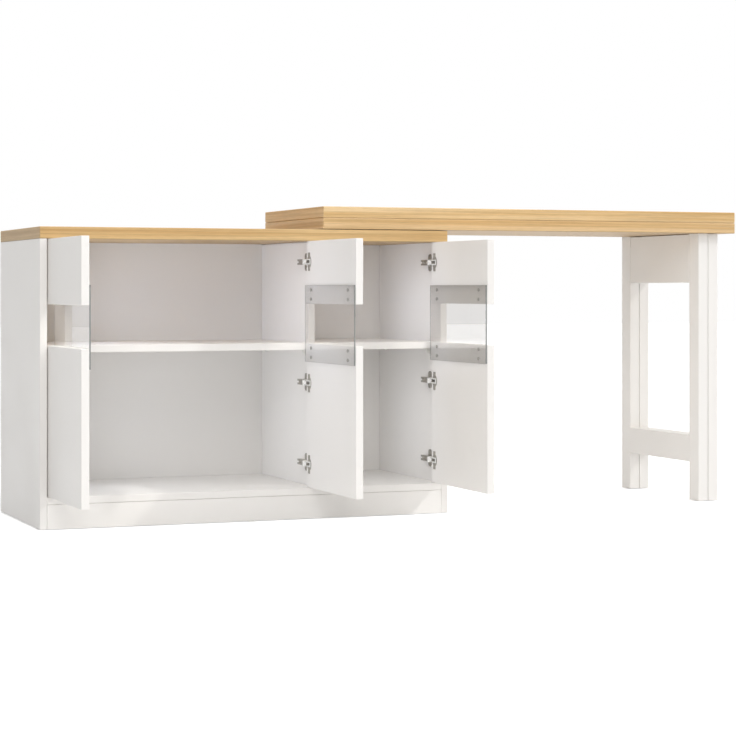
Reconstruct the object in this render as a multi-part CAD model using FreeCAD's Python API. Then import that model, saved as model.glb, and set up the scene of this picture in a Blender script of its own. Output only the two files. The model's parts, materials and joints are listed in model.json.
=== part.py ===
import FreeCAD, Part
import os

# Kitchen table with storage cabinet.
#
# A low cabinet with three inset doors carries one end of a long table. The other end of the
# table stands on a pair of leg frames. The table slides along the cabinet's worktop on a rail.
# Its upper leaf folds over to the back, and the outer leg frame swings out to carry that leaf.
#
# Working axes while building: X to the right, Y to the back, Z up, from the cabinet's front
# left corner on the floor. Everything is written out about the bottom centre of the whole piece.
# The doors are built shut and written out open. All lengths are millimetres.

Vector = FreeCAD.Vector
X_AXIS = Vector(1, 0, 0)
Y_AXIS = Vector(0, 1, 0)
Z_AXIS = Vector(0, 0, 1)
QUARTER_TURN = 90
FULL_TURN = 360

# ---------------------------------------------------------------- driving dimensions

# Cabinet carcass
cabinet_width = 1203.0
cabinet_height = 822.0
cabinet_depth = 510.0
panel_t = 20.0
worktop_t = 33.0
plinth_height = 69.0
toe_board_t = 20.0
rear_toe_setback = 24.0
shelf_t = 20.0
upper_bay_height = 290.0
shelf_end_clearance = 0.5
tongue_t = 8.0
tongue_depth = 8.0
tongue_stop = 12.0
front_setback = 28.0
partition_setback = 60.0
back_t = 6.0
back_recess = 24.0
groove_depth = 8.0
groove_play = 0.8
groove_end_clearance = 0.5
shadow_gap = 2.0
panel_chamfer = 1.0
wood_chamfer = 1.5

# Shelf supports and floor glides
support_w = 14.0
support_h = 16.0
support_reach = 12.0
support_lip = 5.0
support_inset = 55.0
glide_t = 2.0
glide_w = 16.0
glide_inset = 40.0

# Doors
door_t = 21.0
hinge_gap = 3.5
meeting_gap = 3.0
lap_gap = 0.5
door_bottom_gap = 1.5
door_top_gap = 0.5
window_height = 112.0
pane_t = 4.0
pane_overlap = 52.0
pane_free_inset = 1.5
pane_hinge_overhang = 2.0
pane_chamfer = 0.5

# Concealed door hinges, measured from the door's hinge edge and its outer face
low_hinge_rise = 65.5
middle_hinge_drop = 113.0
top_hinge_drop = 58.5
pin_from_edge = 7.0
pin_from_face = 7.6
hinge_pin_r = 1.25
hinge_running = 0.05
cup_slot_play = 0.6
cup_from_edge = 20.5
cup_r = 17.5
cup_skin = 4.0
cup_notch_depth = 10.0
cup_wing_t = 1.5
cup_wing_w = 13.0
cup_wing_reach = 26.0
cup_boss_h = 16.0
arm_t = 2.0
arm_w = 8.0
eye_half = 2.2
eye_corner = 1.3
elbow_reach = 16.3
crank_start = 38.0
crank_end = 56.0
arm_end = 107.0
arm_height = 18.0
channel_w = 16.0
channel_wall = 1.5
channel_lip = 10.0
fork_slot_w = 5.0
fork_slot_length = 11.0
mount_plate_t = 2.5
mount_block_start = 60.0
mount_block_end = 101.0
mount_wing_y = 80.0
mount_wing_w = 20.0
mount_wing_reach = 25.0
mount_wing_taper = 5.0
mount_play = 0.3

# Table leaves
table_length = 1353.0
table_overlap = 386.0
leaf_t = 32.0
leaf_gap = 0.5
felt_t = 1.2
slide_gap = 0.3
felt_w = 60.0
felt_inset = 6.0
felt_end_inset = 20.0

# Slide rail let into the worktop, and the runner under the lower leaf
rail_w = 28.0
rail_h = 14.0
rail_wall = 2.0
rail_slot = 12.0
runner_play = 0.3
runner_head_h = 6.5
runner_length = 120.0
runner_inset = 60.0
runner_tenon = 6.0
stop_clearance = 0.5

# Leg frames
bar_t = 34.0
post_w = 56.0
leg_end_inset = 49.0
leg_front_inset = 20.0
leg_back_inset = 2.0
frame_gap = 1.6
gate_top_gap = 1.0
apron_h = 151.5
apron_end_gap = 1.5
stretcher_bottom = 119.0
stretcher_h = 82.0
tenon_t = 12.0
tenon_length = 26.0
tenon_shoulder = 12.0
stub_tenon_length = 14.0

# Butt hinges of the folding leaf and of the swinging leg frame
butt_length = 60.0
butt_plate_w = 24.0
butt_plate_t = 2.0
butt_knuckle_r = 3.5
butt_knuckle_sides = 16
butt_pin_r = 1.5
butt_running = 0.06
butt_axis_offset = 1.0
butt_knuckles = 3
butt_knuckle_gap = 0.3
butt_scoop = 0.5
leaf_hinge_inset = 150.0
gate_hinge_rise = (39.0, 68.0)

# ---------------------------------------------------------------- what follows from them

side_top = cabinet_height - worktop_t
floor_panel_top = plinth_height + panel_t
inner_width = cabinet_width - 2 * panel_t
right_face = cabinet_width - panel_t
back_front = cabinet_depth - back_recess - back_t
shelf_top = side_top - upper_bay_height

door_width = (inner_width - 3 * hinge_gap - meeting_gap - lap_gap) / 3
partition_left = panel_t + 2 * door_width + 2 * hinge_gap + meeting_gap
partition_right = partition_left + panel_t
door_bottom = floor_panel_top + door_bottom_gap
door_top = side_top - door_top_gap
window_bottom = shelf_top
window_top = window_bottom + window_height
hinge_heights = (door_bottom + low_hinge_rise, window_bottom - middle_hinge_drop,
                 door_top - top_hinge_drop)
hinge_pin_x = hinge_gap + pin_from_edge
hinge_pin_y = pin_from_face

table_left = cabinet_width - table_overlap
table_right = table_left + table_length
table_travel = table_left
leaf_bottom = cabinet_height + slide_gap + felt_t
leaf_seam = leaf_bottom + leaf_t + leaf_gap / 2
upper_leaf_bottom = leaf_bottom + leaf_t + leaf_gap
table_top = upper_leaf_bottom + leaf_t

gate_right = table_right - leg_end_inset
frame_seam = gate_right - bar_t
frame_left = frame_seam - bar_t
apron_bottom = leaf_bottom - apron_h
gate_hinge_heights = (stretcher_bottom + stretcher_h + gate_hinge_rise[0],
                      apron_bottom + gate_hinge_rise[1])
leg_back = cabinet_depth - leg_back_inset
rail_middle = cabinet_depth / 2
gate_axis_y = leg_back + butt_axis_offset
leaf_axis_y = cabinet_depth + butt_axis_offset

# The open doors reach furthest forward, the leaf hinges' knuckles furthest back.
front_reach = hinge_pin_y + pin_from_edge - door_width
back_reach = leaf_axis_y + butt_knuckle_r
origin = Vector(table_right / 2, (front_reach + back_reach) / 2, 0)


# ---------------------------------------------------------------- helpers

def middle(span):
    return (span[0] + span[1]) / 2


def about(centre, width):
    return (centre - width / 2, centre + width / 2)


def box(x, y, z):
    """A box from its lower and upper limit on each axis."""
    return Part.makeBox(x[1] - x[0], y[1] - y[0], z[1] - z[0], Vector(x[0], y[0], z[0]))


def board(x, y, z, chamfer):
    """A sawn board with every edge eased."""
    solid = box(x, y, z)
    return solid.makeChamfer(chamfer, solid.Edges)


def rod(radius, length, start, axis):
    return Part.makeCylinder(radius, length, Vector(*start), axis)


def prism(points, sweep):
    """A closed outline swept along a vector."""
    corners = [Vector(*point) for point in points]
    outline = Part.makePolygon(corners + corners[:1])
    return Part.Face(outline).extrude(sweep)


def faceted_rod(radius, sides, length, start):
    """A rod with flat sides, along Z."""
    step = FULL_TURN / sides
    spokes = [FreeCAD.Rotation(Z_AXIS, step * index).multVec(X_AXIS * radius) for index in range(sides)]
    return prism([Vector(*start) + spoke for spoke in spokes], Z_AXIS * length)


def join(solids):
    """Several touching or overlapping solids made one."""
    return solids[0].fuse(solids[1:]).removeSplitter()


def write(node, shapes):
    """One STEP file for one named piece, or for a group of like pieces."""
    shape = shapes[0] if len(shapes) == 1 else Part.makeCompound(shapes)
    moved = shape.copy()
    moved.translate(origin * -1)
    moved.exportStep("parts/" + node + ".step")


def glides(places):
    """Square nylon pads under the feet, by the centre of each."""
    return [box(about(x, glide_w), about(y, glide_w), (0, glide_t)) for x, y in places]


# ---------------------------------------------------------------- cabinet carcass

def tongue_rows():
    """How far the panels' tongues run from front to back: they stop short of both edges."""
    return (tongue_stop, back_front - tongue_stop)


def shelf_supports():
    """Small moulded brackets, two at each end of each shelf, with the shelf on top of them."""
    top = shelf_top - shelf_t
    brackets = []
    for y in (front_setback + support_inset, back_front - support_inset):
        near = y - support_w / 2
        for face, out in ((panel_t, 1), (partition_left, -1), (partition_right, 1),
                          (right_face, -1)):
            brackets.append(prism([
                (face, near, top),
                (face + out * support_reach, near, top),
                (face + out * support_reach, near, top - support_lip),
                (face + out * support_lip, near, top - support_h),
                (face, near, top - support_h),
            ], Y_AXIS * support_w))
    return brackets


def cabinet_glide_places():
    sides = (panel_t / 2, cabinet_width - panel_t / 2)
    corners = [(x, y) for x in sides for y in (glide_inset, cabinet_depth - glide_inset)]
    rear_toe_y = cabinet_depth - rear_toe_setback - toe_board_t / 2
    half_way = cabinet_width / 2
    return corners + [(half_way, toe_board_t / 2), (half_way, rear_toe_y)]


def side_panel(x, inner):
    """An end panel with a tongue along its top, grooved on its inner face for the back."""
    panel = board(x, (0, cabinet_depth), (glide_t, side_top), panel_chamfer)
    tongue = box(about(middle(x), tongue_t), tongue_rows(), (side_top, side_top + tongue_depth))
    groove_x = (inner - groove_depth, inner) if inner == x[1] else (inner, inner + groove_depth)
    groove = box(groove_x, (back_front - groove_play, back_front + back_t),
                 (floor_panel_top - groove_depth, side_top))
    return join([panel, tongue]).cut(groove)


def bottom_panel():
    """The cabinet's floor, with a tongue at each end and a groove for the back."""
    x = (panel_t, right_face)
    z = (plinth_height, floor_panel_top)
    panel = board(x, (0, cabinet_depth), z, panel_chamfer)
    tongue = box((x[0] - tongue_depth, x[1] + tongue_depth), tongue_rows(), about(middle(z), tongue_t))
    groove = box(x, (back_front - groove_play, back_front + back_t), (z[1] - groove_depth, z[1]))
    return join([panel, tongue]).cut(groove)


def partition_panel():
    """The upright between the bays, tongued into the floor and, across a thin gap, the worktop."""
    x = (partition_left, partition_right)
    z = (floor_panel_top, side_top - shadow_gap)
    panel = board(x, (partition_setback, back_front), z, panel_chamfer)
    rows = (partition_setback + tongue_stop, back_front - tongue_stop)
    tongue = box(about(middle(x), tongue_t), rows, (z[0] - tongue_depth, side_top + tongue_depth))
    return join([panel, tongue])


def toe_board(front):
    """A plinth board, with a tongue into each side panel."""
    x = (panel_t, right_face)
    y = (front, front + toe_board_t)
    panel = board(x, y, (glide_t, plinth_height), panel_chamfer)
    tongue = box((x[0] - tongue_depth, x[1] + tongue_depth), about(middle(y), tongue_t),
                 (glide_t + tongue_stop, plinth_height - tongue_stop))
    return join([panel, tongue])


def back_panel():
    side_reach = groove_depth - groove_end_clearance
    return box((panel_t - side_reach, right_face + side_reach),
               (back_front, back_front + back_t),
               (floor_panel_top - side_reach, side_top + side_reach))


def shelf(x):
    clear = (x[0] + shelf_end_clearance, x[1] - shelf_end_clearance)
    return board(clear, (front_setback, back_front), (shelf_top - shelf_t, shelf_top), panel_chamfer)


def worktop():
    """The wooden top, grooved below for the back and above for the slide rail."""
    top = board((0, cabinet_width), (0, cabinet_depth), (side_top, cabinet_height), wood_chamfer)
    back_groove = box((panel_t - groove_depth, right_face + groove_depth),
                      (back_front, back_front + back_t), (side_top, side_top + groove_depth))
    rail_groove = box(rail_span(), (rail_middle - rail_w / 2, rail_middle + rail_w / 2),
                      (cabinet_height - rail_h, cabinet_height))
    return top.cut([back_groove, rail_groove])


def rail_span():
    """The rail's ends are the table's two stops."""
    runner_left = table_left + runner_inset
    return (runner_left - table_travel - stop_clearance,
            runner_left + runner_length + stop_clearance)


def slide_rail():
    """A lipped aluminium channel, flush with the worktop."""
    x = rail_span()
    body = box(x, (rail_middle - rail_w / 2, rail_middle + rail_w / 2),
               (cabinet_height - rail_h, cabinet_height))
    half = rail_w / 2 - rail_wall
    hollow = box(x, (rail_middle - half, rail_middle + half),
                 (cabinet_height - rail_h + rail_wall, cabinet_height - rail_wall))
    slot = box(x, (rail_middle - rail_slot / 2, rail_middle + rail_slot / 2),
               (cabinet_height - rail_wall, cabinet_height))
    return body.cut([hollow, slot])


def build_carcass():
    front_toe = toe_board(0)
    rear_toe = toe_board(cabinet_depth - rear_toe_setback - toe_board_t)
    floor_panel = bottom_panel()
    partition = partition_panel()
    sides = [side_panel((0, panel_t), panel_t),
             side_panel((right_face, cabinet_width), right_face)]
    housed = [floor_panel, front_toe, rear_toe]
    write("left_side_panel", [sides[0].cut(housed)])
    write("right_side_panel", [sides[1].cut(housed)])
    write("partition_panel", [partition])
    write("bottom_panel", [floor_panel.cut(partition)])
    write("front_toe_board", [front_toe])
    write("rear_toe_board", [rear_toe])
    write("back_panel", [back_panel()])
    write("worktop", [worktop().cut(sides + [partition])])
    write("left_shelf", [shelf((panel_t, partition_left))])
    write("right_shelf", [shelf((partition_right, right_face))])
    write("shelf_supports", shelf_supports())
    write("cabinet_glides", glides(cabinet_glide_places()))
    write("slide_rail", [slide_rail()])


# ---------------------------------------------------------------- concealed door hinge
#
# Built for a door whose hinge edge is on the left, shut, with X = 0 on the face of the panel
# that carries it and Y = 0 on the door's outer face. The pin crosses a slot in the cup. From the
# pin a goose-neck reaches along the slot to an elbow, then back out of the cup's mouth, so that
# the door's edge can swing past it, and cranks over to the arm that sits on the mounting plate.

def hinge_cup(height):
    """A cast cup with its screw wings, slotted for the arm, with the pin across the slot."""
    centre_x = hinge_gap + cup_from_edge
    slot_z = about(height, arm_w + 2 * cup_slot_play)
    disc = rod(cup_r, door_t - cup_skin, (centre_x, cup_skin, height), Y_AXIS)
    wing_y = (door_t, door_t + cup_wing_t)
    half_boss = cup_boss_h / 2
    wings = [box(about(centre_x, cup_wing_w), wing_y, (height + half_boss, height + cup_wing_reach)),
             box(about(centre_x, cup_wing_w), wing_y, (height - cup_wing_reach, height - half_boss))]
    room = eye_half + cup_slot_play / 2
    slot = box((hinge_pin_x - room, hinge_pin_x + elbow_reach + arm_t / 2 + cup_slot_play),
               (hinge_pin_y - room, door_t), slot_z)
    notch = box((hinge_gap, hinge_pin_x), (cup_notch_depth, door_t), slot_z)
    pin = rod(hinge_pin_r, slot_z[1] - slot_z[0], (hinge_pin_x, hinge_pin_y, slot_z[0]), Z_AXIS)
    return join([disc.cut([slot, notch]), pin] + wings)


def cup_bore(height):
    return rod(cup_r, door_t - cup_skin, (hinge_gap + cup_from_edge, cup_skin, height), Y_AXIS)


def hinge_arm(height):
    """The goose-neck, the crank and the channel that sits on the mounting plate."""
    low = height - arm_w / 2
    half = arm_t / 2
    elbow_x = hinge_pin_x + elbow_reach
    web_x = arm_height
    nose = eye_half - eye_corner
    neck = prism([
        (hinge_pin_x - nose, hinge_pin_y - eye_half, low),
        (hinge_pin_x + nose, hinge_pin_y - eye_half, low),
        (hinge_pin_x + eye_half, hinge_pin_y - half, low),
        (elbow_x + half, hinge_pin_y - half, low),
        (elbow_x + half, crank_start + half, low),
        (web_x + half, crank_end + half, low),
        (web_x + half, arm_end, low),
        (web_x - half, arm_end, low),
        (web_x - half, crank_end - half, low),
        (elbow_x - half, crank_start - half, low),
        (elbow_x - half, hinge_pin_y + half, low),
        (hinge_pin_x + eye_half, hinge_pin_y + half, low),
        (hinge_pin_x + nose, hinge_pin_y + eye_half, low),
        (hinge_pin_x - nose, hinge_pin_y + eye_half, low),
        (hinge_pin_x - eye_half, hinge_pin_y + nose, low),
        (hinge_pin_x - eye_half, hinge_pin_y - nose, low),
    ], Z_AXIS * arm_w)
    channel = box((web_x - half - channel_lip, web_x + half), (crank_end, arm_end),
                  (height - channel_w / 2, height + channel_w / 2))
    inside = channel_w / 2 - channel_wall
    hollow = box((web_x - half - channel_lip, web_x - half), (crank_end, arm_end),
                 (height - inside, height + inside))
    bore = rod(hinge_pin_r + hinge_running, arm_w, (hinge_pin_x, hinge_pin_y, low), Z_AXIS)
    slot = box((web_x - half, web_x + half), (arm_end - fork_slot_length, arm_end),
               (height - fork_slot_w / 2, height + fork_slot_w / 2))
    arm = join([neck, channel.cut(hollow)])
    return arm.cut([bore, slot])


def mounting_plate(height):
    """A cross-shaped plate with the block that fills the arm's channel."""
    block_half = channel_w / 2 - channel_wall - mount_play
    block = box((0, arm_height - arm_t / 2), (mount_block_start, mount_block_end),
                (height - block_half, height + block_half))
    wing_half = mount_wing_w / 2
    tip = wing_half - mount_wing_taper
    wings = prism([
        (0, mount_wing_y - tip, height - mount_wing_reach),
        (0, mount_wing_y + tip, height - mount_wing_reach),
        (0, mount_wing_y + wing_half, height - mount_wing_reach + mount_wing_taper),
        (0, mount_wing_y + wing_half, height + mount_wing_reach - mount_wing_taper),
        (0, mount_wing_y + tip, height + mount_wing_reach),
        (0, mount_wing_y - tip, height + mount_wing_reach),
        (0, mount_wing_y - wing_half, height + mount_wing_reach - mount_wing_taper),
        (0, mount_wing_y - wing_half, height - mount_wing_reach + mount_wing_taper),
    ], X_AXIS * mount_plate_t)
    return join([block, wings])


# ---------------------------------------------------------------- doors

def door_panel(bottom, top):
    """A white door panel, bored for the hinge cups that fall on it."""
    panel = board((hinge_gap, hinge_gap + door_width), (0, door_t), (bottom, top), panel_chamfer)
    return panel.cut([cup_bore(height) for height in hinge_heights if bottom < height < top])


def glass_pane():
    """The clear pane that joins the two panels and closes the gap between them."""
    return board((hinge_gap - pane_hinge_overhang, hinge_gap + door_width - pane_free_inset),
                 (door_t, door_t + pane_t),
                 (window_bottom - pane_overlap, window_top + pane_overlap), pane_chamfer)


def set_door(shape, panel_face, hand):
    """Swing a piece of a shut door open and put it on its panel; hand is -1 for a right hinge."""
    opened = shape.copy()
    opened.rotate(Vector(hinge_pin_x, hinge_pin_y, 0), Z_AXIS, -QUARTER_TURN)
    return set_fixed(opened, panel_face, hand)


def set_fixed(shape, panel_face, hand):
    placed = shape if hand > 0 else shape.mirror(Vector(0, 0, 0), X_AXIS)
    placed = placed.copy()
    placed.translate(X_AXIS * panel_face)
    return placed


def build_door(name, panel_face, hand):
    swinging = {
        "upper_panel": [door_panel(window_top, door_top)],
        "lower_panel": [door_panel(door_bottom, window_bottom)],
        "glass_pane": [glass_pane()],
        "hinge_cups": [hinge_cup(height) for height in hinge_heights],
    }
    fixed = {
        "hinge_arms": [hinge_arm(height) for height in hinge_heights],
        "hinge_plates": [mounting_plate(height) for height in hinge_heights],
    }
    for node, shapes in swinging.items():
        write(name + "_" + node, [set_door(shape, panel_face, hand) for shape in shapes])
    for node, shapes in fixed.items():
        write(name + "_" + node, [set_fixed(shape, panel_face, hand) for shape in shapes])


# ---------------------------------------------------------------- butt hinges
#
# Built about the Z axis, open flat: the fixed plate reaches to -X and the swinging plate to +X,
# both let in flush with the plane Y = -butt_axis_offset.

def butt_plate(side, first):
    """One plate with every second knuckle, counted from first."""
    y = (-butt_axis_offset - butt_plate_t, -butt_axis_offset)
    edge = butt_knuckle_r + butt_scoop
    foot = -butt_length / 2
    pitch = butt_length / butt_knuckles
    pieces = [box((edge, butt_plate_w), y, (foot, -foot))]
    for index in range(first, butt_knuckles, 2):
        low = foot + index * pitch + butt_knuckle_gap / 2
        high = foot + (index + 1) * pitch - butt_knuckle_gap / 2
        pieces.append(box((0, edge), y, (low, high)))
        pieces.append(faceted_rod(butt_knuckle_r, butt_knuckle_sides, high - low, (0, 0, low)))
    plate = join(pieces)
    return plate if side > 0 else plate.mirror(Vector(0, 0, 0), X_AXIS)


def butt_pin(radius):
    return rod(radius, butt_length - butt_knuckle_gap,
               (0, 0, (butt_knuckle_gap - butt_length) / 2), Z_AXIS)


def fixed_butt_plate():
    """The outer knuckles, with the pin fast in them."""
    return join([butt_plate(-1, 0), butt_pin(butt_pin_r)])


def swinging_butt_plate():
    """The inner knuckle, bored to turn on the pin."""
    return butt_plate(1, 1).cut(butt_pin(butt_pin_r + butt_running))


def butt_recess():
    """What is cut from both boards: the plates' flat bed and the room round the knuckles."""
    half = butt_length / 2
    bed = box((-butt_plate_w, butt_plate_w),
              (-butt_axis_offset - butt_plate_t, -butt_axis_offset), (-half, half))
    room = butt_knuckle_r + butt_scoop
    return [bed, box((-room, room), (-room, 0), (-half - butt_scoop, half + butt_scoop))]


def leaf_hinge_places():
    """Hinge axes run along X, turned so that the swinging plate points up."""
    inset = leaf_hinge_inset
    return [Vector(x, leaf_axis_y, leaf_seam)
            for x in (table_left + inset, (table_left + table_right) / 2, table_right - inset)]


def gate_hinge_places():
    return [Vector(frame_seam, gate_axis_y, height) for height in gate_hinge_heights]


def on_leaves(shape):
    placed = []
    for place in leaf_hinge_places():
        turned = shape.copy()
        turned.rotate(Vector(0, 0, 0), Y_AXIS, -QUARTER_TURN)
        turned.translate(place)
        placed.append(turned)
    return placed


def on_gate(shape):
    placed = []
    for place in gate_hinge_places():
        moved = shape.copy()
        moved.translate(place)
        placed.append(moved)
    return placed


# ---------------------------------------------------------------- table leaves and runner

def leaf(bottom):
    x = (table_left, table_right)
    board_solid = board(x, (0, cabinet_depth), (bottom, bottom + leaf_t), wood_chamfer)
    recesses = [cut for tool in butt_recess() for cut in on_leaves(tool)]
    return board_solid.cut(recesses)


def runner():
    """A T-shaped block that is captive in the rail and let into the lower leaf."""
    x0 = table_left + runner_inset
    head_top = cabinet_height - rail_wall - runner_play
    head_half = rail_w / 2 - rail_wall - runner_play
    neck_half = rail_slot / 2 - runner_play
    x = (x0, x0 + runner_length)
    head = box(x, (rail_middle - head_half, rail_middle + head_half),
               (head_top - runner_head_h, head_top))
    neck = box(x, (rail_middle - neck_half, rail_middle + neck_half),
               (head_top, leaf_bottom + runner_tenon))
    return join([head, neck])


def felt_strips():
    """Two strips across the leaf's end, either side of the rail."""
    x = (table_left + felt_inset, table_left + felt_inset + felt_w)
    z = (leaf_bottom - felt_t, leaf_bottom)
    gap_half = rail_w / 2 + felt_end_inset
    return [box(x, (felt_end_inset, rail_middle - gap_half), z),
            box(x, (rail_middle + gap_half, cabinet_depth - felt_end_inset), z)]


# ---------------------------------------------------------------- leg frames

def tenon_rail(x, z, end_gap):
    """An apron or stretcher between the posts, with a tenon at each end."""
    front = leg_front_inset + post_w
    back = leg_back - post_w
    body = board(x, (front + end_gap, back - end_gap), z, panel_chamfer)
    tenon = box(about(middle(x), tenon_t), (front - tenon_length, back + tenon_length),
                (z[0] + tenon_shoulder, z[1] - tenon_shoulder))
    return join([body, tenon])


def post(x, face, top, stub):
    """A post, with a stub tenon of the given length on top for the leaf that it carries."""
    y = (face, face + post_w)
    body = board(x, y, (glide_t, top), panel_chamfer)
    if stub:
        tenon = box(about(middle(x), tenon_t), about(middle(y), tenon_length), (top, top + stub))
        body = join([body, tenon])
    return body


def build_frame(prefix, x, top, stub):
    """A ladder frame: two posts, an apron just below their tops and a stretcher near the floor."""
    faces = {"front": leg_front_inset, "rear": leg_back - post_w}
    apron = tenon_rail(x, (apron_bottom, top - shadow_gap), apron_end_gap)
    stretcher = tenon_rail(x, (stretcher_bottom, stretcher_bottom + stretcher_h), 0)
    recesses = [cut for tool in butt_recess() for cut in on_gate(tool)]
    posts = {end: post(x, face, top, stub) for end, face in faces.items()}
    for end, body in posts.items():
        write(prefix + "_" + end + "_post", [body.cut([apron, stretcher] + recesses)])
    write(prefix + "_apron", [apron])
    write(prefix + "_stretcher", [stretcher])
    write(prefix + "_glides", glides([(middle(x), face + post_w / 2) for face in faces.values()]))
    return list(posts.values())


def build_table():
    fixed_x = (frame_left, frame_seam - frame_gap / 2)
    gate_x = (frame_seam + frame_gap / 2, gate_right)
    posts = build_frame("fixed_frame", fixed_x, leaf_bottom, stub_tenon_length)
    build_frame("gate_frame", gate_x, leaf_bottom - gate_top_gap, 0)
    write("lower_leaf", [leaf(leaf_bottom).cut(posts + [runner()])])
    write("upper_leaf", [leaf(upper_leaf_bottom)])
    write("slide_runner", [runner()])
    write("felt_strips", felt_strips())
    write("leaf_hinge_lower_plates", on_leaves(fixed_butt_plate()))
    write("leaf_hinge_upper_plates", on_leaves(swinging_butt_plate()))
    write("gate_hinge_fixed_plates", on_gate(fixed_butt_plate()))
    write("gate_hinge_swing_plates", on_gate(swinging_butt_plate()))


# ---------------------------------------------------------------- all of it

os.makedirs("parts", exist_ok=True)
build_carcass()
build_door("left_door", panel_t, 1)
build_door("middle_door", partition_left, -1)
build_door("right_door", right_face, -1)
build_table()
print("written from", origin)
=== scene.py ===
# %% [markdown]
# # A kitchen table with a storage cabinet
# A white cabinet with three panelled doors carries one end of a long wooden table. The boards,
# leaves and hinges come from a CAD model and stay as they are. This notebook gives them their
# finishes, adds the small parts that the CAD leaves out, puts finer pieces in the place of the
# glass panes and of one plinth board, and sets up a white studio.

# %% Load the frame
import json
import math

import bmesh
import bpy
from mathutils import Matrix, Vector


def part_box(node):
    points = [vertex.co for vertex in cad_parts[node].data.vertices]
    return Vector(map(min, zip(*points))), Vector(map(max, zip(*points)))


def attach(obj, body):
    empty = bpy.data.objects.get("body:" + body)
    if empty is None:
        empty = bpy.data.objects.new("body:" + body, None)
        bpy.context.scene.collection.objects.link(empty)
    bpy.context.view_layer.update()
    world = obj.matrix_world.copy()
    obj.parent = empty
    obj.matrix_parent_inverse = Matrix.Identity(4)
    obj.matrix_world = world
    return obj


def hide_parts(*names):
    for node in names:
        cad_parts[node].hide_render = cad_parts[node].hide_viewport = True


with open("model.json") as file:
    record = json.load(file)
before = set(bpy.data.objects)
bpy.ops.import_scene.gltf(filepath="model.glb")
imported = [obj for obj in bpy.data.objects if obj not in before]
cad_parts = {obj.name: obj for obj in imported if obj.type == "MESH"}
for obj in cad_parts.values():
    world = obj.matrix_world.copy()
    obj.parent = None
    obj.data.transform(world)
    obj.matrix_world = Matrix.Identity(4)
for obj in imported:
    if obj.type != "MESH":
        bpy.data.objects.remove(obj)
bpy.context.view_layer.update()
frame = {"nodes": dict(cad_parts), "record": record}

# %% [markdown]
# ## The camera
# The view is a two-point perspective: every upright is parallel, so the camera is level, and the
# lens is shifted down instead of being tipped. Its eye is below the worktop, which is why the
# undersides of the wooden parts show and their tops don't.

# %% A level camera with a shifted lens
EYE = (-2.3613, -5.6765, 0.6517)
TURNED_RIGHT = 21.70  # degrees from square to the cabinet's front
FOCAL_LENGTH, FILM_WIDTH = 102.91, 36  # millimetres
LENS_SHIFT = -0.1069

camera_data = bpy.data.cameras.new("studio_camera")
camera_data.lens = FOCAL_LENGTH
camera_data.sensor_width = FILM_WIDTH
camera_data.shift_y = LENS_SHIFT
camera = bpy.data.objects.new("studio_camera", camera_data)
camera.location = EYE
camera.rotation_euler = (math.radians(90), 0, math.radians(-TURNED_RIGHT))
bpy.context.scene.collection.objects.link(camera)
bpy.context.scene.camera = camera
print("camera at", tuple(camera.location))

# %% [markdown]
# ## Tools for the finishes
# A finish is a small tree of nodes. Colours are picked as sRGB hex values, as a paint chart
# gives them, but Blender works in linear light, so one function turns one into the other. The
# next adds a node, sets its properties and fills its inputs. Two short ones open a new material
# and close it with its output, and the last puts a finished material on every CAD node that the
# record lists under one material slot.

# %% Colours, nodes and slots
COLOUR_A, COLOUR_B, MIXED_COLOUR = 6, 7, 2  # a Mix node's sockets share their names
VECTOR_A, VECTOR_B, MIXED_VECTOR = 4, 5, 1
MOSTLY = 0.7  # a face counts as an end or an underside when its normal points that way this much


def paint(hex_code):
    """A linear RGBA colour from an sRGB hex value."""
    channels = [int(hex_code[i:i + 2], 16) / 255 for i in (1, 3, 5)]
    return tuple(c / 12.92 if c <= 0.04045 else ((c + 0.055) / 1.055) ** 2.4
                 for c in channels) + (1,)


def add(material, kind, inputs=None, **settings):
    """Add a node; each input is given a value, or the socket that feeds it."""
    tree = material.node_tree
    node = tree.nodes.new("ShaderNode" + kind)
    for name, value in settings.items():
        setattr(node, name, value)
    for name, value in (inputs or {}).items():
        if isinstance(value, bpy.types.NodeSocket):
            tree.links.new(value, node.inputs[name])
        else:
            node.inputs[name].default_value = value
    return node


def new_material(name):
    """An empty material, and the object's own coordinates in metres."""
    material = bpy.data.materials.new(name)
    material.use_nodes = True
    material.node_tree.nodes.clear()
    return material, add(material, "TexCoord").outputs["Object"]


def finish_with(material, shader):
    """Feed the material's output."""
    add(material, "OutputMaterial", {"Surface": shader})
    return material


def dress(slot, material):
    """Put a material on every CAD node of one slot."""
    names = [part["node"] for part in frame["record"]["subparts"] if part["material_slot"] == slot]
    for name in names:
        for material_slot in frame["nodes"][name].material_slots:
            material_slot.material = material
    print(material.name, "on", len(names), "nodes")


# %% [markdown]
# ## White lacquered fibreboard
# The boards are fibreboard with a sprayed satin lacquer. Sprayed lacquer never lies quite flat:
# it has an orange-peel texture of shallow dimples about 1.5 mm apart, and the film's gloss
# drifts a little over a hand's width. The dimples go to the bump, the drift to the roughness.

# %% Satin lacquer
lacquer, place = new_material("satin_white_lacquer")
peel = add(lacquer, "TexNoise", {"Vector": place, "Scale": 650.0, "Detail": 2.0})
drift = add(lacquer, "TexNoise", {"Vector": place, "Scale": 7.0, "Detail": 3.0})
sheen = add(lacquer, "MapRange", {"Value": drift.outputs["Fac"], "From Min": 0.3, "From Max": 0.7,
                                  "To Min": 0.36, "To Max": 0.46})
dimples = add(lacquer, "Bump", {"Height": peel.outputs["Fac"], "Strength": 0.12,
                                "Distance": 0.0002})
film = add(lacquer, "BsdfPrincipled", {"Base Color": paint("#F3F0EC"), "IOR": 1.5,
                                       "Roughness": sheen.outputs["Result"],
                                       "Normal": dimples.outputs["Normal"]})
dress("white_board", finish_with(lacquer, film.outputs["BSDF"]))

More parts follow.
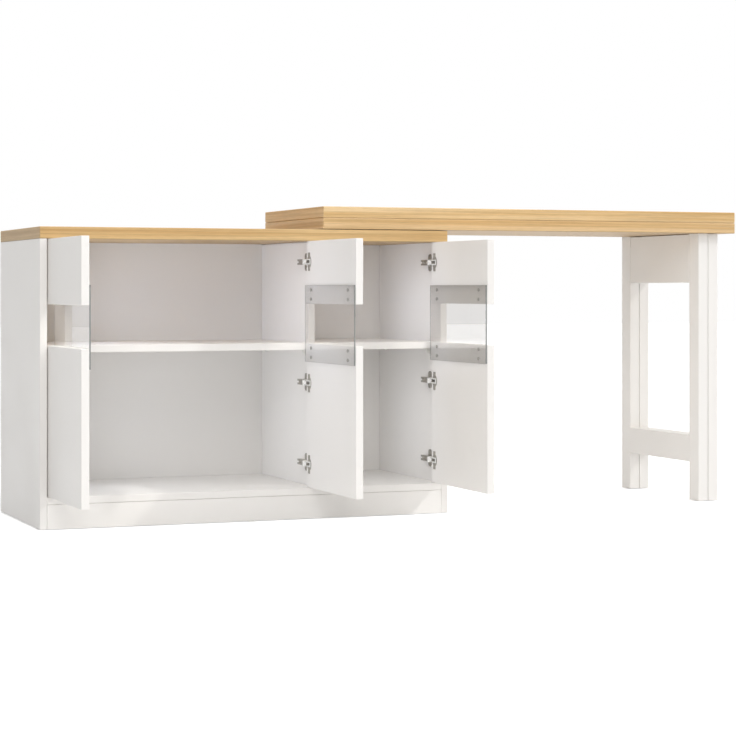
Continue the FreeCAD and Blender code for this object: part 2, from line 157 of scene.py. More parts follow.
# %% [markdown]
# ## White-faced hardboard
# The back is thin hardboard with a printed white face. It is more matt than the lacquer, and
# the pressed fibres under the face show as a faint mottle a few millimetres across.

# %% Matt hardboard face
hardboard, place = new_material("white_faced_hardboard")
fibres = add(hardboard, "TexNoise", {"Vector": place, "Scale": 260.0, "Detail": 4.0})
press = add(hardboard, "Bump", {"Height": fibres.outputs["Fac"], "Strength": 0.15,
                                "Distance": 0.0003})
face = add(hardboard, "BsdfPrincipled", {"Base Color": paint("#F0EDE9"), "IOR": 1.5,
                                         "Roughness": 0.6, "Normal": press.outputs["Normal"]})
dress("white_hardboard", finish_with(hardboard, face.outputs["BSDF"]))

# %% [markdown]
# ## Light oak
# The worktop and the leaves are boards faced with light oak and oiled matt. Every edge carries a
# band of the same oak, so the grain runs level round the ends too, where solid wood would show
# its growth rings. The surface's own direction tells the ends from the fronts, and on the ends
# the pattern takes a quarter turn. On the edges, broad streaks are about 14 mm apart and fine
# ones 4 mm, with pores a millimetre wide. On the broad faces the streaks are two to three times
# as wide, as in a flat-sawn board. The undersides of the worktop and the lower leaf are painted
# darker and greyer, as painted shade under the table. The upper leaf's underside, which is the
# table's top when the leaf is folded out, gets none. The worktop's ends are a little greyer.

# %% Oiled oak
def oiled_oak(name, dark, light, grey_ends, painted_shade_below):
    """Oak with level streaks between two tones, its ends greyed by a share and its underside
    darkened by a share as painted shade.
    """
    oak, place = new_material(name)
    facing = add(oak, "TexCoord").outputs["Normal"]
    parts = add(oak, "SeparateXYZ", {"Vector": facing}).outputs
    sideways = add(oak, "Math", {0: parts["X"]}, operation="ABSOLUTE").outputs[0]
    on_end = add(oak, "Math", {0: sideways, 1: MOSTLY}, operation="GREATER_THAN").outputs[0]
    # the undersides, which take the painted shade
    below = add(oak, "Math", {0: parts["Z"], 1: -MOSTLY}, operation="LESS_THAN").outputs[0]
    turned = add(oak, "Mapping", {"Vector": place, "Rotation": (0, 0, math.radians(90))})
    run = add(oak, "Mix", {"Factor": on_end, VECTOR_A: place, VECTOR_B: turned.outputs["Vector"]},
              data_type="VECTOR").outputs[MIXED_VECTOR]

    def grain_pattern(scale, detail):
        stretched = add(oak, "Mapping", {"Vector": run, "Scale": scale})
        return add(oak, "TexNoise", {"Vector": stretched.outputs["Vector"], "Scale": 1.0,
                                     "Detail": detail, "Distortion": 0.3}).outputs["Fac"]

    tones = add(oak, "ValToRGB", {"Fac": grain_pattern((0.9, 24.0, 72.0), 3.0)})
    tones.color_ramp.elements[0].position = 0.32
    tones.color_ramp.elements[0].color = paint(dark)
    tones.color_ramp.elements[1].position = 0.66
    tones.color_ramp.elements[1].color = paint(light)
    colour = tones.outputs["Color"]
    for scale, darkest in (((3.0, 110.0, 260.0), 0.86), ((30.0, 900.0, 900.0), 0.9)):
        depth = add(oak, "MapRange", {"Value": grain_pattern(scale, 2.0), "From Min": 0.36,
                                      "From Max": 0.56, "To Min": darkest, "To Max": 1.0})
        colour = add(oak, "Mix", {"Factor": 1.0, COLOUR_A: colour,
                                  COLOUR_B: depth.outputs["Result"]},
                     data_type="RGBA", blend_type="MULTIPLY").outputs[MIXED_COLOUR]
    # greyer ends, and painted shade on the undersides, both mixed towards one grey-brown
    end_grey = add(oak, "Math", {0: on_end, 1: grey_ends}, operation="MULTIPLY").outputs[0]
    grey = add(oak, "Math", {0: below, 1: painted_shade_below, 2: end_grey},
               operation="MULTIPLY_ADD").outputs[0]
    colour = add(oak, "Mix", {"Factor": grey, COLOUR_A: colour, COLOUR_B: paint("#9C8970")},
                 data_type="RGBA").outputs[MIXED_COLOUR]
    wood = add(oak, "BsdfPrincipled", {"Base Color": colour, "IOR": 1.5, "Roughness": 0.5})
    return finish_with(oak, wood.outputs["BSDF"])


# each board: its two tones, the grey on its ends, and the painted shade on its underside
for board, tones_grey_and_shade in (("worktop", ("#C79D62", "#E2C08A", 0.4, 0.4)),
                               ("lower_leaf", ("#D1A76B", "#ECCC9D", 0.0, 0.55)),
                               ("upper_leaf", ("#D3AA6C", "#EECF9F", 0.05, 0.0))):
    board_oak = oiled_oak("oiled_light_oak_" + board, *tones_grey_and_shade)
    for material_slot in frame["nodes"][board].material_slots:
        material_slot.material = board_oak
    print(board_oak.name, "on", board)

# %% [markdown]
# ## Clear glass
# The panes are clear toughened glass, 4 mm thick, with ground edges. Glass bends light, so a lamp
# behind it would only throw a dark shadow in a render. Light Path lets the lamps' rays straight
# through, as a thin flat pane nearly does, while the eye still sees the real surface.

# %% Toughened glass
glass, place = new_material("clear_toughened_glass")
pane = add(glass, "BsdfPrincipled", {"Base Color": paint("#F3F2F1"), "IOR": 1.5,
                                     "Roughness": 0.0, "Transmission Weight": 1.0})
open_air = add(glass, "BsdfTransparent", {"Color": paint("#F3F2F0")})
rays = add(glass, "LightPath")
clear = add(glass, "MixShader", {"Fac": rays.outputs["Is Shadow Ray"],
                                 1: pane.outputs["BSDF"], 2: open_air.outputs["BSDF"]})
dress("clear_glass", finish_with(glass, clear.outputs["Shader"]))

# %% [markdown]
# The cut edges are ground with a wet wheel. That leaves a frosted band, with grit marks about a
# third of a millimetre apart, that scatters light instead of letting it through. Its mid-grey
# colour is partly the frosted glass's own tone and partly painted shade, for the dark lines that a
# pane's edges show.

# %% Ground glass edge
ground_edge, place = new_material("ground_glass_edge")
grit = add(ground_edge, "TexNoise", {"Vector": place, "Scale": 3000.0, "Detail": 2.0})
frost = add(ground_edge, "MapRange", {"Value": grit.outputs["Fac"], "To Min": 0.45, "To Max": 0.65})
rubbed = add(ground_edge, "Bump", {"Height": grit.outputs["Fac"], "Strength": 0.3,
                                   "Distance": 0.0001})
# mid-grey: partly the frosted tone, partly painted shade for the edges' dark lines
edge = add(ground_edge, "BsdfPrincipled", {"Base Color": paint("#8B8D8B"), "IOR": 1.5,
                                           "Roughness": frost.outputs["Result"],
                                           "Normal": rubbed.outputs["Normal"]})
finish_with(ground_edge, edge.outputs["BSDF"])
print("edge material:", ground_edge.name)

# %% [markdown]
# ## Metals
# The concealed hinges are pressed and cast steel with a satin nickel plate, slightly warm. The
# butt hinges are zinc plated: bluer, and duller in patches a few millimetres across where the
# plating grew. The rail is extruded aluminium, anodised, with die lines along its length.

# %% Satin nickel
nickel, place = new_material("satin_nickel_plate")
buffing = add(nickel, "TexNoise", {"Vector": place, "Scale": 900.0, "Detail": 2.0})
shine = add(nickel, "MapRange", {"Value": buffing.outputs["Fac"], "To Min": 0.3, "To Max": 0.42})
plate = add(nickel, "BsdfPrincipled", {"Base Color": paint("#B4B0A9"), "Metallic": 1.0,
                                       "Roughness": shine.outputs["Result"]})
dress("nickel_plate", finish_with(nickel, plate.outputs["BSDF"]))

# %% Zinc plate
zinc, place = new_material("zinc_plated_steel")
patches = add(zinc, "TexNoise", {"Vector": place, "Scale": 180.0, "Detail": 3.0})
dull = add(zinc, "MapRange", {"Value": patches.outputs["Fac"], "To Min": 0.3, "To Max": 0.5})
steel = add(zinc, "BsdfPrincipled", {"Base Color": paint("#C3C7CB"), "Metallic": 1.0,
                                     "Roughness": dull.outputs["Result"]})
dress("zinc_steel", finish_with(zinc, steel.outputs["BSDF"]))

# %% Anodised aluminium
aluminium, place = new_material("anodised_aluminium")
die = add(aluminium, "Mapping", {"Vector": place, "Scale": (2.0, 1800.0, 1800.0)})
lines = add(aluminium, "TexNoise", {"Vector": die.outputs["Vector"], "Scale": 1.0})
satin = add(aluminium, "MapRange", {"Value": lines.outputs["Fac"], "To Min": 0.3, "To Max": 0.45})
extrusion = add(aluminium, "BsdfPrincipled", {"Base Color": paint("#CDD0D2"), "Metallic": 1.0,
                                              "Roughness": satin.outputs["Result"]})
dress("rail_aluminium", finish_with(aluminium, extrusion.outputs["BSDF"]))

# %% [markdown]
# ## Nylon and felt
# The glides, shelf brackets and runner are moulded nylon in its natural milky white, with the
# fine spark-eroded grain of the mould. The felt strips are pressed grey wool.

# %% Moulded nylon
nylon, place = new_material("natural_nylon")
mould = add(nylon, "TexNoise", {"Vector": place, "Scale": 1400.0, "Detail": 1.0})
grain = add(nylon, "Bump", {"Height": mould.outputs["Fac"], "Strength": 0.2, "Distance": 0.0001})
moulding = add(nylon, "BsdfPrincipled", {"Base Color": paint("#E6E5DF"), "IOR": 1.53,
                                         "Roughness": 0.45, "Normal": grain.outputs["Normal"]})
dress("nylon", finish_with(nylon, moulding.outputs["BSDF"]))

# %% [markdown]
# The hinges' covers and liners are acetal, a hard white plastic that slides well. It is whiter
# and glossier than nylon, and its mould was polished, so it has only a soft drift in its gloss.

# %% White acetal
acetal, place = new_material("white_acetal")
flow = add(acetal, "TexNoise", {"Vector": place, "Scale": 120.0, "Detail": 2.0})
polish = add(acetal, "MapRange", {"Value": flow.outputs["Fac"], "To Min": 0.22, "To Max": 0.34})
plastic = add(acetal, "BsdfPrincipled", {"Base Color": paint("#F6F5F2"), "IOR": 1.48,
                                         "Roughness": polish.outputs["Result"]})
finish_with(acetal, plastic.outputs["BSDF"])
print("cover material:", acetal.name)

# %% Wool felt
felt, place = new_material("pressed_wool_felt")
wool = add(felt, "TexNoise", {"Vector": place, "Scale": 1200.0, "Detail": 5.0})
flecks = add(felt, "ValToRGB", {"Fac": wool.outputs["Fac"]})
flecks.color_ramp.elements[0].color = paint("#707072")
flecks.color_ramp.elements[1].color = paint("#A4A4A6")
nap = add(felt, "Bump", {"Height": wool.outputs["Fac"], "Strength": 0.8, "Distance": 0.0004})
pressed = add(felt, "BsdfPrincipled", {"Base Color": flecks.outputs["Color"], "Roughness": 0.95,
                                       "Sheen Weight": 0.3, "Normal": nap.outputs["Normal"]})
dress("grey_felt", finish_with(felt, pressed.outputs["BSDF"]))

# %% [markdown]
# ## Tools for the new pieces
# Every new piece starts as a primitive and is shaped as by hand: faces are picked by where they
# are or where they point, and an edit-mode operator works on them. Blender's operators act on
# all that is selected, so each helper clears the selection first. Sizes are written in
# millimetres from the cabinet's front left corner on the floor, as a maker would measure them.

# %% Blocks, rods, picks and cuts
MM = 0.001
SQUARE_ON = 0.9  # a face is picked when its normal points the wanted way more than this
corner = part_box("left_side_panel")[0]


def at(x, y, z):
    """A point in metres from millimetres off the cabinet's front left corner."""
    return Vector((corner.x + x * MM, corner.y + y * MM, z * MM))


def only(piece):
    """Make one piece the only one selected."""
    bpy.ops.object.select_all(action="DESELECT")
    piece.select_set(True)
    bpy.context.view_layer.objects.active = piece


def settle(piece, name):
    """Name a new primitive and move its place, turn and size into its mesh."""
    piece.name = name
    only(piece)
    bpy.ops.object.transform_apply(location=True, rotation=True, scale=True)
    return piece


def block(name, one, other):
    """A block between two opposite corners."""
    bpy.ops.object.select_all(action="DESELECT")
    bpy.ops.mesh.primitive_cube_add(size=1, location=(one + other) / 2)
    bpy.context.object.scale = [abs(edge) for edge in other - one]
    return settle(bpy.context.object, name)


def rod(name, centre, direction, radius, length, sides=24):
    """A round bar about its centre, along a direction."""
    bpy.ops.object.select_all(action="DESELECT")
    turn = Vector(direction).to_track_quat("Z", "Y").to_euler()
    bpy.ops.mesh.primitive_cylinder_add(vertices=sides, radius=radius, depth=length,
                                        location=centre, rotation=turn)
    return settle(bpy.context.object, name)


def pick(piece, test):
    """Go into edit mode with just those faces selected that pass a test."""
    only(piece)
    bpy.ops.object.mode_set(mode="EDIT")
    bpy.ops.mesh.select_mode(type="FACE")
    bpy.ops.mesh.select_all(action="DESELECT")
    for side in bmesh.from_edit_mesh(piece.data).faces:
        side.select_set(test(side))
    bmesh.update_edit_mesh(piece.data)


def leave_edit():
    """Go back to object mode."""
    bpy.ops.object.mode_set(mode="OBJECT")


def apply_modifier(piece, kind, **settings):
    """Add a modifier with its settings and apply it at once."""
    modifier = piece.modifiers.new(kind.lower(), kind)
    for name, value in settings.items():
        setattr(modifier, name, value)
    only(piece)
    bpy.ops.object.modifier_apply(modifier=modifier.name)


def cut_with(piece, cutter):
    """Take a cutter's shape out of a piece and throw the cutter away."""
    apply_modifier(piece, "BOOLEAN", object=cutter, solver="EXACT")
    bpy.data.objects.remove(cutter)


def joined(pieces):
    """Several loose pieces made one object, named as the first."""
    only(pieces[0])
    for piece in pieces[1:]:
        piece.select_set(True)
    bpy.ops.object.join()
    return pieces[0]


def hand_over(piece, body, material):
    """Give a piece its finish and fasten it to its body."""
    piece.data.materials.clear()
    piece.data.materials.append(material)
    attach(piece, body)


print("cabinet corner at", tuple(round(v, 4) for v in corner))

# %% [markdown]
# ## The plinth's front board
# On the real cabinet the plinth board is a separate board under the floor panel, and a joint as
# fine as a pencil line runs along its top and its ends. The CAD's board fills its place to the
# last millimetre, so its stand-in is a block that is 0.6 mm lower and shorter at each end, with
# eased edges. The floor panel and the side panels then throw a thin shadow into the joint.

# %% Ease the plinth board
JOINT, EASED_EDGE = 0.6, 0.4
low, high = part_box("front_toe_board")
inner_left, inner_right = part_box("left_side_panel")[1].x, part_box("right_side_panel")[0].x
plinth = block("eased_plinth_board", Vector((inner_left + JOINT * MM, low.y, low.z)),
               Vector((inner_right - JOINT * MM, high.y, high.z - JOINT * MM)))
pick(plinth, lambda face: True)
bpy.ops.mesh.bevel(offset=EASED_EDGE * MM, segments=2, affect="EDGES")
leave_edit()
hand_over(plinth, "cabinet", lacquer)
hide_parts("front_toe_board")
print(plinth.name, "is", round(plinth.dimensions.x / MM), "mm long")

# %% [markdown]
# ## Door glass
# Each door is two boards with a gap between them, and one pane behind the gap is screwed to both.
# A real pane is cut, drilled and ground before it is toughened, so here a block gets a bevel for
# the ground arris and is then drilled by eight rods in one boolean. It stands 0.4 mm off the
# boards, as on thin packing: two faces in one plane would trap the light between them.

# %% Cut and drill the panes
PANE_SCREW_HEIGHTS = (460, 486, 624, 650)
PANE_SCREW_INSET = 48
PANE_CLEARANCE = 0.4
GROUND_ARRIS = 0.5
DRILL_RADIUS, DRILL_LENGTH, DRILL_SIDES = 2.6, 12, 20
DOORS = {"left_door": ("left_side_panel", 1), "middle_door": ("partition_panel", -1),
         "right_door": ("right_side_panel", -1)}


def pane_screw_spots(low, high):
    """Where the eight screws go through a pane, as Y and Z in metres."""
    return [(y, z * MM) for y in (low.y + PANE_SCREW_INSET * MM, high.y - PANE_SCREW_INSET * MM)
            for z in PANE_SCREW_HEIGHTS]


for door, (panel, side) in DOORS.items():
    low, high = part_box(door + "_glass_pane")
    clear_of_board = Vector((side * PANE_CLEARANCE * MM, 0, 0))
    pane = block(door + "_drilled_pane", low + clear_of_board, high + clear_of_board)
    pick(pane, lambda face: True)
    bpy.ops.mesh.bevel(offset=GROUND_ARRIS * MM, segments=2, affect="EDGES")
    leave_edit()
    middle = (low.x + high.x) / 2
    drills = [rod("drill", (middle, y, z), (1, 0, 0), DRILL_RADIUS * MM, DRILL_LENGTH * MM,
                  DRILL_SIDES) for y, z in pane_screw_spots(low, high)]
    cut_with(pane, joined(drills))
    hand_over(pane, door, glass)
    pane.data.materials.append(ground_edge)
    for face in pane.data.polygons:
        face.material_index = 0 if abs(face.normal.x) > 0.5 else 1
    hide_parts(door + "_glass_pane")
    print(pane.name, len(pane.data.polygons), "faces")

# %% [markdown]
# ## Screws
# One pan-head screw is made and then copied everywhere. The head starts as a short rod: the top
# face's rim is bevelled into a dome, the bottom face is inset and extruded into the shank, and
# the shank's end is shrunk to a point. Two crossed bars are cut out of the dome for the driver.

# %% Make one screw of each size
DOME, DRIVER_FLOOR = 0.75, 0.35  # shares of the head's height
DRIVER_REACH, DRIVER_HALF_WIDTH = 0.62, 0.13  # shares of the head's radius
PLAIN_SHANK, POINT = 0.75, 0.15  # shares of the shank's length and of its radius


def pan_head_screw(name, head_r, head_h, shank_r, shank_length):
    """A cross-head screw that stands on the origin and points down."""
    screw = rod(name, (0, 0, head_h * MM / 2), (0, 0, 1), head_r * MM, head_h * MM, 20)
    pick(screw, lambda face: face.normal.z > SQUARE_ON)
    bpy.ops.mesh.bevel(offset=head_h * MM * DOME, segments=4, affect="EDGES")
    leave_edit()
    pick(screw, lambda face: face.normal.z < -SQUARE_ON)
    bpy.ops.mesh.inset(thickness=(head_r - shank_r) * MM)
    bpy.ops.mesh.extrude_region_move(
        TRANSFORM_OT_translate={"value": (0, 0, -shank_length * MM * PLAIN_SHANK)})
    bpy.ops.mesh.extrude_region_move(
        TRANSFORM_OT_translate={"value": (0, 0, -shank_length * MM * (1 - PLAIN_SHANK))})
    bpy.ops.transform.resize(value=(POINT, POINT, 1))
    leave_edit()
    arm, half = head_r * DRIVER_REACH, head_r * DRIVER_HALF_WIDTH
    floor_z, top = head_h * DRIVER_FLOOR, head_h * 1.5
    for wide, thin in ((arm, half), (half, arm)):
        cut_with(screw, block("driver_bar", Vector((-wide, -thin, floor_z)) * MM,
                              Vector((wide, thin, top)) * MM))
    screw.data.shade_flat()
    only(screw)
    bpy.ops.object.shade_smooth_by_angle(angle=math.radians(35))
    return screw


def screws_at(name, pattern, spots, facing, body, material):
    """Copies of one screw at each spot, with their heads facing one way, as one piece."""
    turn = Vector(facing).to_track_quat("Z", "Y").to_matrix().to_4x4()
    copies = []
    for spot in spots:
        copy = bpy.data.objects.new(name, pattern.data.copy())
        copy.data.transform(Matrix.Translation(spot) @ turn)
        bpy.context.scene.collection.objects.link(copy)
        copies.append(copy)
    piece = joined(copies)
    hand_over(piece, body, material)
    print(name, "has", len(spots), "screws")
    return piece


# radius and height of the head, then radius and length of the shank
pane_screw = pan_head_screw("pane_screw", 4.1, 1.6, 1.9, 18)
hinge_screw = pan_head_screw("hinge_screw", 3.6, 1.8, 1.7, 13)
small_screw = pan_head_screw("small_screw", 2.9, 1.4, 1.5, 4)
print("one screw has", len(pane_screw.data.polygons), "faces")

# %% [markdown]
# ## Pane screws and their washers
# Steel must not touch toughened glass, so a washer sits under each head, and its rim draws a dark
# ring round the screw. The washers are turned from nylon that is dyed grey all through. The dye
# is even, and the turned rim has only a soft drift in its gloss.

# %% Grey nylon
dyed_nylon, place = new_material("grey_nylon")
turning = add(dyed_nylon, "TexNoise", {"Vector": place, "Scale": 600.0, "Detail": 2.0})
soft_gloss = add(dyed_nylon, "MapRange", {"Value": turning.outputs["Fac"], "To Min": 0.4,
                                          "To Max": 0.55})
rim = add(dyed_nylon, "BsdfPrincipled", {"Base Color": paint("#6F6E6C"), "IOR": 1.53,
                                         "Roughness": soft_gloss.outputs["Result"]})
finish_with(dyed_nylon, rim.outputs["BSDF"])
print("washer material:", dyed_nylon.name)

# %% [markdown]
# A washer starts as a short rod with a bevelled rim, and a drill takes out its middle. Washer and
# head together are only 2.2 mm high, because the shut doors bring them to within half a
# millimetre of the shelf's front edge.

# %% Screw the panes on
WASHER_THICKNESS, WASHER_RADIUS, WASHER_BORE, WASHER_RIM = 0.6, 4.8, 2.1, 0.2
washer = rod("washer", (0, 0, WASHER_THICKNESS * MM / 2), (0, 0, 1), WASHER_RADIUS * MM,
             WASHER_THICKNESS * MM)
pick(washer, lambda face: abs(face.normal.z) > SQUARE_ON)
bpy.ops.mesh.bevel(offset=WASHER_RIM * MM, segments=2, affect="EDGES")
leave_edit()
cut_with(washer, rod("drill", (0, 0, 0), (0, 0, 1), WASHER_BORE * MM, 4 * MM))

for door, (panel, side) in DOORS.items():
    low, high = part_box(door + "_glass_pane")
    glass_face = (high.x if side > 0 else low.x) + side * PANE_CLEARANCE * MM
    spots = [Vector((glass_face, y, z)) for y, z in pane_screw_spots(low, high)]
    screws_at(door + "_pane_washers", washer, spots, (side, 0, 0), door, dyed_nylon)
    on_washers = [spot + Vector((side * WASHER_THICKNESS * MM, 0, 0)) for spot in spots]
    screws_at(door + "_pane_screws", pane_screw, on_washers, (side, 0, 0), door,
              nickel)

# %% [markdown]
# ## Hinge screws, covers and liners
# Each concealed hinge is held by two screws in the cup's ears and two in the mounting plate's
# wings. On the arm, a small screw sets the door's gap and a larger one in the fork clamps the arm
# to its plate. White acetal parts keep the hinge quiet: a cover over the elbow of the arm, a
# sleeve on the part of the arm that swings into the cup, and a thin collar and liner in the cup.

# %% Screw the hinges on
HINGE_HEIGHTS = (156, 386, 730)
CUP_Y, CUP_FACE = -5.9, 23.9
SCREW_SPOTS = {
    # name: screw, height off the panel, Y, reach up and down, what it rides on
    "cup": (hinge_screw, CUP_FACE + 0.7, CUP_Y, (-19, 19), None),
    "plate": (hinge_screw, 1.7, 80, (-17, 17), "cabinet"),
    "clamp": (hinge_screw, 19, 88, (0,), "cabinet"),
    "gap": (small_screw, 19, 66, (0,), "cabinet"),
}


def off_panel(door, out, y, z):
    """A point by its distance from the panel that carries the door."""
    panel, side = DOORS[door]
    low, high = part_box(panel)
    return Vector((high.x if side > 0 else low.x, corner.y, 0)) + Vector((side * out, y, z)) * MM


for door, (panel, side) in DOORS.items():
    for name, (pattern, out, y, rises, body) in SCREW_SPOTS.items():
        spots = [off_panel(door, out, y, z + rise) for z in HINGE_HEIGHTS for rise in rises]
        screws_at(door + "_" + name + "_screws", pattern, spots, (side, 0, 0), body or door,
                  nickel)

# %% [markdown]
# The cover is a block opened at the back and towards the panel, turned into a thin shell with
# Solidify, rounded with Bevel and slotted where the arm comes out. The liner is a shell too, set
# into a collar. The sleeve is a block eased at its edges, with the arm running through it.

# %% Cover the hinges
COVER_WALL, COVER_ROUNDING, LINER_WALL, EASING = 1.2, 0.5, 0.12, 0.3
# each block's near and far corner, as distance off the panel and Y, and half its height
COVER = (9, 24), (29.2, 36), 8
ARM_SLOT = (25.4, 20), (28.1, 30), 4.3
SLEEVE = (25.6, 9), (28.05, 24.6), 4.2
COLLAR = (CUP_FACE, -16), (CUP_FACE + 0.8, 11.4), 7.9
COLLAR_SLOT = (CUP_FACE - 2, -10.2), (CUP_FACE + 2, 14), 4.5
LINER = (8.02, -10.2), (CUP_FACE + 0.1, 10), 4.55


def hinge_block(name, door, span, z):
    """A block that lies level about a hinge's height."""
    near, far, half = span
    return block(name, off_panel(door, *near, z - half), off_panel(door, *far, z + half))


def hinge_cover(door, side, z):
    """A rounded shell over the arm's elbow, and the sleeve on the arm."""
    cover = hinge_block(door + "_hinge_covers", door, COVER, z)
    pick(cover, lambda face: face.normal.x * side < -SQUARE_ON or face.normal.y > SQUARE_ON)
    bpy.ops.mesh.delete(type="FACE")
    leave_edit()
    apply_modifier(cover, "SOLIDIFY", thickness=COVER_WALL * MM, offset=-1)
    apply_modifier(cover, "BEVEL", width=COVER_ROUNDING * MM, segments=2, limit_method="ANGLE")
    cut_with(cover, hinge_block("arm_slot", door, ARM_SLOT, z))
    sleeve = hinge_block("sleeve", door, SLEEVE, z)
    apply_modifier(sleeve, "BEVEL", width=EASING * MM, segments=2)
    return joined([cover, sleeve])


def cup_liner(door, side, z):
    """A slotted collar on the cup's face, and the thin shell that lines the cup's slot."""
    collar = hinge_block(door + "_cup_liners", door, COLLAR, z)
    apply_modifier(collar, "BEVEL", width=EASING * MM, segments=2)
    cut_with(collar, hinge_block("slot", door, COLLAR_SLOT, z))
    liner = hinge_block("liner", door, LINER, z)
    pick(liner, lambda face: face.normal.x * side > SQUARE_ON or face.normal.y > SQUARE_ON)
    bpy.ops.mesh.delete(type="FACE")
    leave_edit()
    apply_modifier(liner, "SOLIDIFY", thickness=LINER_WALL * MM, offset=-1)
    return joined([collar, liner])


for door, (panel, side) in DOORS.items():
    for make, body in ((hinge_cover, "cabinet"), (cup_liner, door)):
        piece = joined([make(door, side, z) for z in HINGE_HEIGHTS])
        hand_over(piece, body, acetal)
        print(piece.name, len(piece.data.polygons), "faces")

# %% [markdown]
# ## Butt hinge screws
# The folding leaf hangs on three butt hinges let into the leaves' back edges, and the swinging leg
# frame on two between the rear posts. Their screws are countersunk, so the heads stand only a
# quarter of a millimetre proud of the plates and clear each other when a hinge folds.

# %% Fasten the butt hinges
LEAF_SEAM, LEAF_BACK, LEAF_HINGES = 855.75, 510, (967, 1493.5, 2020)
LEG_SEAM, LEG_BACK, LEG_HINGES = 2087, 508, (240, 740)
FROM_SEAM, SCREW_PITCH, SUNK = 15, 21, 1.15
ALONG_PLATE = (-SCREW_PITCH, 0, SCREW_PITCH)

for name, body, offset in (("leaf_hinge_lower_screws", "table", -FROM_SEAM),
                           ("leaf_hinge_upper_screws", "folding_leaf", FROM_SEAM)):
    spots = [at(x + dx, LEAF_BACK - SUNK, LEAF_SEAM + offset)
             for x in LEAF_HINGES for dx in ALONG_PLATE]
    screws_at(name, small_screw, spots, (0, 1, 0), body, zinc)

for name, body, offset in (("gate_hinge_fixed_screws", "table", -FROM_SEAM),
                           ("gate_hinge_swing_screws", "gate_leg", FROM_SEAM)):
    spots = [at(LEG_SEAM + offset, LEG_BACK - SUNK, z + dz)
             for z in LEG_HINGES for dz in ALONG_PLATE]
    screws_at(name, small_screw, spots, (0, 1, 0), body, zinc)

for pattern in (washer, pane_screw, hinge_screw, small_screw):
    bpy.data.objects.remove(pattern)

# %% [markdown]
# ## The studio
# A white room is mostly a white sky: the world lights everything evenly. To the camera, to gloss
# and to glass it is plain white. The floor is a matt white that also glows a little where it is
# seen by the eye, in gloss or through glass. It then reads as white paper, still carries the
# table's soft shadow, and throws no extra light on matt faces. Far from the table the lamps
# fade, and the glow grows to make up for it.

# %% World and floor
SKY_LIGHT = 0.35  # what the white sky gives to lit surfaces; seen directly, it is 1
FLOOR_WIDTH = 60.0  # metres, as are the next two
NEAR, FAR = 2.5, 12.0
NEAR_GLOW, FAR_GLOW = 0.5, 0.69

world = bpy.data.worlds.new("white_room")
bpy.context.scene.world = world
world.use_nodes = True
world.node_tree.nodes.clear()


def seen_directly(material):
    """1 for rays from the eye, by gloss or through glass, and 0 after a matt surface."""
    rays = add(material, "LightPath").outputs
    eye_or_gloss = add(material, "Math", {0: rays["Is Camera Ray"], 1: rays["Is Glossy Ray"]},
                       operation="MAXIMUM").outputs[0]
    any_of_them = add(material, "Math", {0: eye_or_gloss, 1: rays["Is Transmission Ray"]},
                      operation="MAXIMUM").outputs[0]
    no_matt_yet = add(material, "Math", {0: rays["Diffuse Depth"], 1: 0.5},
                      operation="LESS_THAN").outputs[0]
    return add(material, "Math", {0: any_of_them, 1: no_matt_yet}, operation="MULTIPLY").outputs[0]


sky_level = add(world, "MapRange", {"Value": seen_directly(world), "To Min": SKY_LIGHT,
                                    "To Max": 1.0})
sky = add(world, "Background", {"Color": paint("#FFFFFF"),
                                "Strength": sky_level.outputs["Result"]})
add(world, "OutputWorld", {"Surface": sky.outputs["Background"]})

bpy.ops.object.select_all(action="DESELECT")
bpy.ops.mesh.primitive_plane_add(size=FLOOR_WIDTH)
floor = bpy.context.object
floor.name = "studio_floor"
paper, place = new_material("white_paper_floor")
matt = add(paper, "BsdfDiffuse", {"Color": paint("#F0F0F0")})
distance = add(paper, "VectorMath", {0: place}, operation="LENGTH").outputs["Value"]
farther = add(paper, "MapRange", {"Value": distance, "From Min": NEAR, "From Max": FAR,
                                  "To Min": NEAR_GLOW, "To Max": FAR_GLOW})
glow_level = add(paper, "Math", {0: seen_directly(paper), 1: farther.outputs["Result"]},
                 operation="MULTIPLY")
glow = add(paper, "Emission", {"Color": paint("#FFFFFF"), "Strength": glow_level.outputs[0]})
both = add(paper, "AddShader", {0: matt.outputs["BSDF"], 1: glow.outputs["Emission"]})
floor.data.materials.append(finish_with(paper, both.outputs["Shader"]))
print(floor.name, "is", FLOOR_WIDTH, "m wide")

# %% [markdown]
# ## The lamps
# Three big softboxes stand outside the frame: one overhead, one far off at the right, so that it
# lights the legs and the cabinet alike, and one high at the front left. A sun from the front right
# shines in between the doors and draws pale patches at the left end of the shelf, on the floor of
# the left bay, on the plinth and, through the left door's pane, on the front edge of the side
# panel. The bays are deep, so each of their four compartments gets two faint panel lamps of its
# own, as a photographer puts them in a cupboard: one in its opening, and one on its left wall.
# Barn doors narrow the beams to keep most of their light off the wood above, and the wall lamps
# are a little blue, to take away the brown tint that the wood casts on the white.

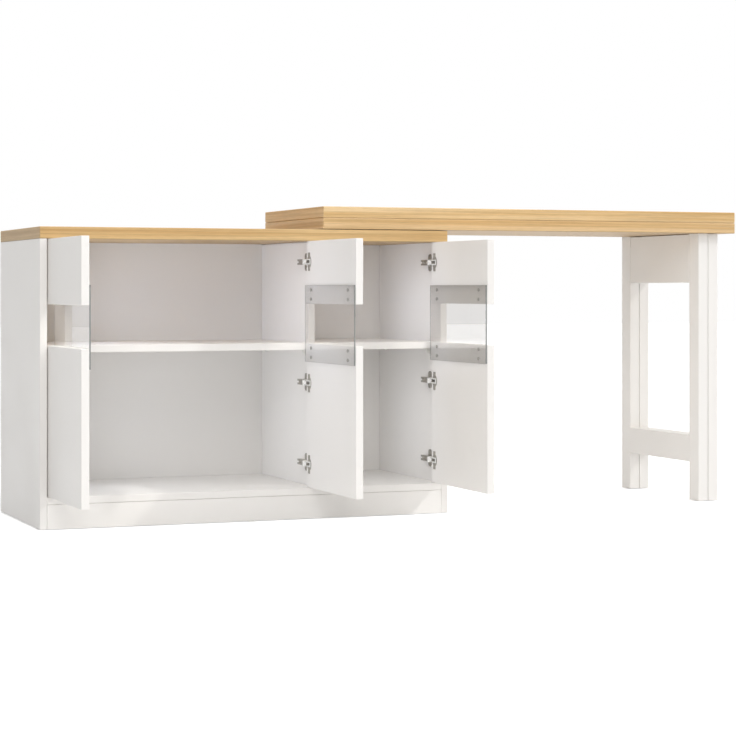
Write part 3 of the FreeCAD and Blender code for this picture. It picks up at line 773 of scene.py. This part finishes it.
# %% Softboxes, sun and bay lamps
def softbox(name, place, target, size, watts, spread=180, colour="#FFFFFF"):
    """A rectangular lamp that faces a target, with its beam's width in degrees."""
    lamp_data = bpy.data.lights.new(name, "AREA")
    lamp_data.shape = "RECTANGLE"
    lamp_data.size, lamp_data.size_y = size
    lamp_data.energy = watts
    lamp_data.spread = math.radians(spread)
    lamp_data.color = paint(colour)[:3]
    lamp = bpy.data.objects.new(name, lamp_data)
    bpy.context.scene.collection.objects.link(lamp)
    lamp.location = place
    lamp.rotation_euler = (Vector(target) - Vector(place)).to_track_quat("-Z", "Y").to_euler()


softbox("softbox_overhead", (0, 0, 4), (0, 0, 0.5), (4, 4), 92)
softbox("softbox_right", (12, -1.2, 2.04), (0, 0, 0.6), (6, 3.6), 590)
softbox("softbox_front_left", (-2.2, -3.8, 3.2), (-0.3, 0, 0.5), (2.4, 2.4), 63)
OPENING_Y, WALL_LAMP_Y, WALL_LAMP_WIDTH = -0.036, 0.11, 0.32
WALL_LAMP_DROP, WALL_LAMP_AIM_DROP = 0.02, 0.06
OPENING_BEAM, WALL_BEAM = 100, 110  # degrees
COLUMNS = (  # middle, width and left wall in metres; watts at opening and wall, upper and lower
    (-0.677, 0.74, -1.04, (0.01, 0.7), (0.02, 0.42)),
    (-0.0855, 0.33, -0.262, (0.07, 0.19), (0.09, 0.13)))
for middle, width, wall, upper, lower in COLUMNS:
    rows = ((0.66, 0.2, 0.30, upper, "#DEE9FF"), (0.29, 0.36, -0.10, lower, "#E4EEFF"))
    for z, height, aim, (opening_watts, wall_watts), tint in rows:
        softbox("opening_lamp", (middle, OPENING_Y, z), (middle, 1, aim), (width, height),
                opening_watts, OPENING_BEAM)
        softbox("wall_lamp", (wall, WALL_LAMP_Y, z - WALL_LAMP_DROP),
                (wall + 1, WALL_LAMP_Y, z - WALL_LAMP_AIM_DROP),
                (WALL_LAMP_WIDTH, height), wall_watts, WALL_BEAM, tint)

SUNBEAM = (-1, 0.62, -0.96)
sun_data = bpy.data.lights.new("soft_sun", "SUN")
sun_data.energy = 1.05
sun_data.angle = math.radians(1.5)
sun = bpy.data.objects.new("soft_sun", sun_data)
bpy.context.scene.collection.objects.link(sun)
sun.rotation_euler = Vector(SUNBEAM).to_track_quat("-Z", "Y").to_euler()
bpy.context.scene.view_settings.view_transform = "Standard"
print("lamps:", len(bpy.data.lights))
